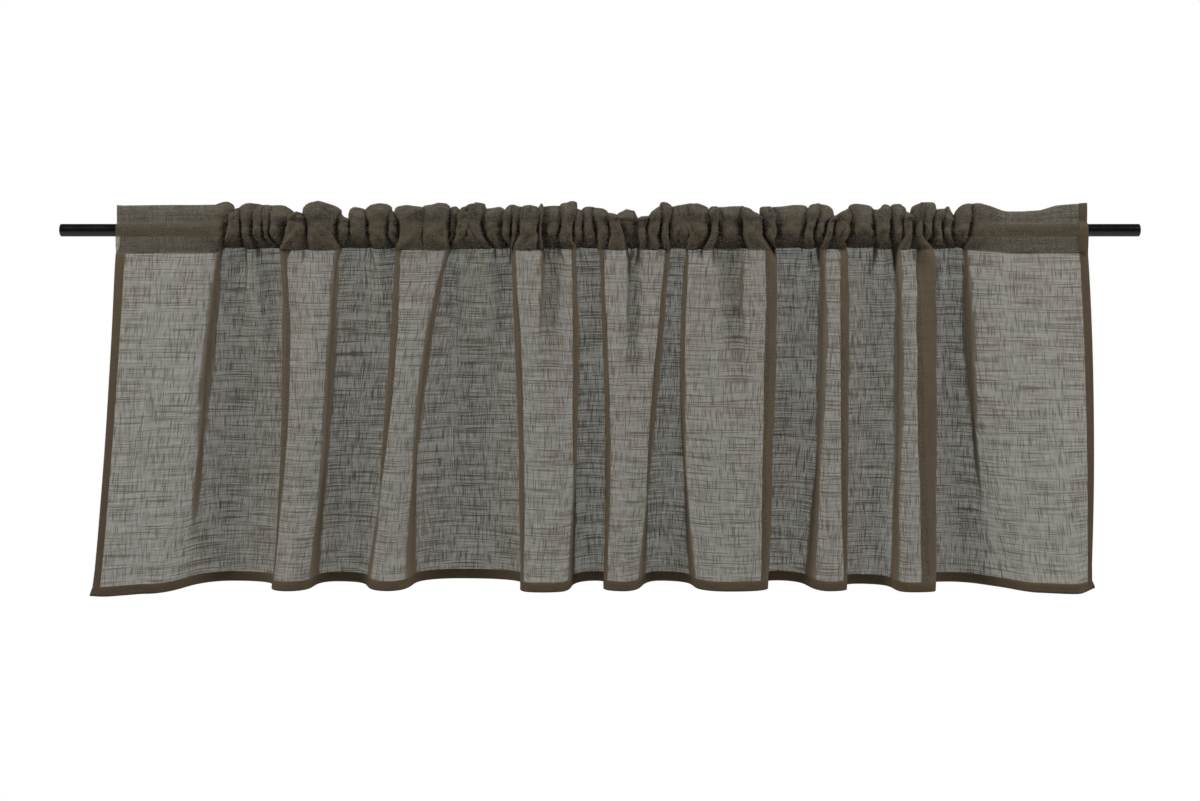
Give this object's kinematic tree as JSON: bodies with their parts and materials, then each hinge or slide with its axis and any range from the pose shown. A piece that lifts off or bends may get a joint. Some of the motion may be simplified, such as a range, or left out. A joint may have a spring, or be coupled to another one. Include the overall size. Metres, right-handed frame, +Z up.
{
  "type": "window valance on a curtain rod",
  "caption": "Sheer slub-weave window valance with a frilled heading, gathered on a plain round black curtain rod.",
  "frame": {"origin": "middle of the rod's axis, between the brackets that hold it", "axes": "+X along the rod to the right as seen from the room, -Y towards the room, +Z up"},
  "size_m": [1.38, 0.1134, 0.4963],
  "materials": {
    "black_rod": "satin black paint",
    "brown_sheer_cloth": "matt sheer slub weave"
  },
  "bodies": {
    "root": {"curtain_rod": "black_rod", "valance_cloth": "brown_sheer_cloth"}
  },
  "joints": []
}
